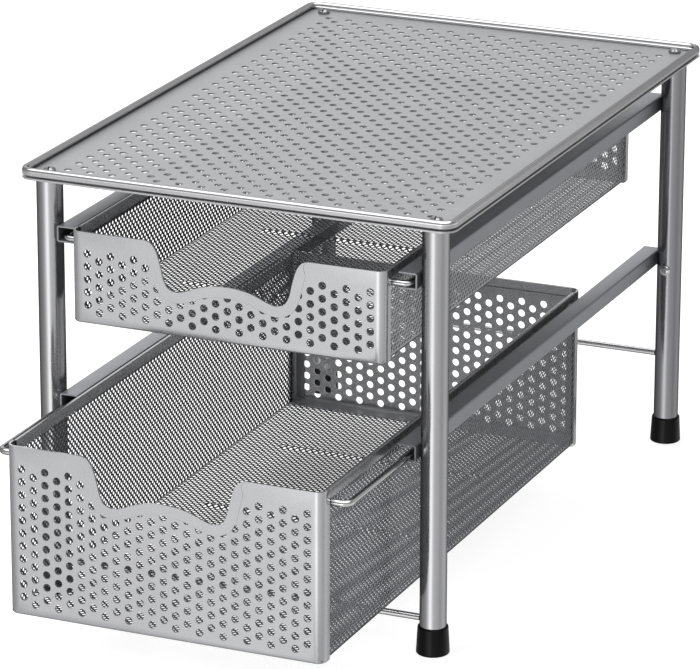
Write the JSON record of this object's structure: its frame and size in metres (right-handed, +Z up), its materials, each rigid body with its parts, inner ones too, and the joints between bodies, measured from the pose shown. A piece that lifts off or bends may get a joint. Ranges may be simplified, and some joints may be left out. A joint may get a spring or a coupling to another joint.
{
  "type": "pull-out basket organizer",
  "caption": "Steel frame organizer with a perforated tray on top and mesh baskets that slide out on side rails, each with a wavy grip cut in its front.",
  "frame": {"origin": "on the floor, under the middle of the part's bounding box with the baskets drawn out as in the picture", "axes": "+Z up, -Y to the front where the baskets pull out, +X to the right seen from the front"},
  "size_m": [0.276, 0.5196, 0.2683],
  "materials": {
    "sheet_metal": "satin metallic silver coating on perforated sheet steel",
    "plate_metal": "satin metallic silver coating on perforated sheet steel",
    "mesh_metal": "satin metallic silver coating on expanded steel mesh",
    "tube_metal": "smooth silver tube with a soft shine",
    "rail_metal": "satin folded steel channel",
    "bright_metal": "bright plated wire",
    "screw_metal": "bright plated fastener",
    "black_rubber": "matt black"
  },
  "bodies": {
    "frame": {"top_panel": "sheet_metal", "rim_wire": "bright_metal", "edge_band": "sheet_metal", "leg_front_left": "tube_metal", "leg_front_right": "tube_metal", "leg_rear_left": "tube_metal", "leg_rear_right": "tube_metal", "foot_cap_front_left": "black_rubber", "foot_cap_front_right": "black_rubber", "foot_cap_rear_left": "black_rubber", "foot_cap_rear_right": "black_rubber", "leg_plug_front_left": "screw_metal", "leg_plug_front_right": "screw_metal", "leg_plug_rear_left": "screw_metal", "leg_plug_rear_right": "screw_metal", "tray_screw_front_left": "screw_metal", "tray_screw_front_right": "screw_metal", "tray_screw_rear_left": "screw_metal", "tray_screw_rear_right": "screw_metal", "leg_bolt_rear_left": "screw_metal", "leg_bolt_rear_right": "screw_metal", "upper_rail_left": "rail_metal", "upper_rail_right": "rail_metal", "lower_rail_left": "rail_metal", "lower_rail_right": "rail_metal", "rear_cross_rod": "bright_metal", "front_cross_rod": "bright_metal"},
    "upper_basket": {"upper_front_plate": "plate_metal", "upper_back_plate": "plate_metal", "upper_floor_mesh": "mesh_metal", "upper_side_mesh_left": "mesh_metal", "upper_side_mesh_right": "mesh_metal", "upper_side_band_left": "plate_metal", "upper_side_band_right": "plate_metal", "upper_runner_left": "bright_metal", "upper_runner_right": "bright_metal"},
    "lower_basket": {"lower_front_plate": "plate_metal", "lower_back_plate": "plate_metal", "lower_floor_mesh": "mesh_metal", "lower_side_mesh_left": "mesh_metal", "lower_side_mesh_right": "mesh_metal", "lower_side_band_left": "plate_metal", "lower_side_band_right": "plate_metal", "lower_runner_left": "bright_metal", "lower_runner_right": "bright_metal"}
  },
  "joints": [
    {"name": "upper_slide", "type": "slide", "parent": "frame", "child": "upper_basket", "axis": [0, -1, 0], "range_m": [-0.0117, 0.236]},
    {"name": "lower_slide", "type": "slide", "parent": "frame", "child": "lower_basket", "axis": [0, -1, 0], "range_m": [-0.0984, 0.15]}
  ]
}
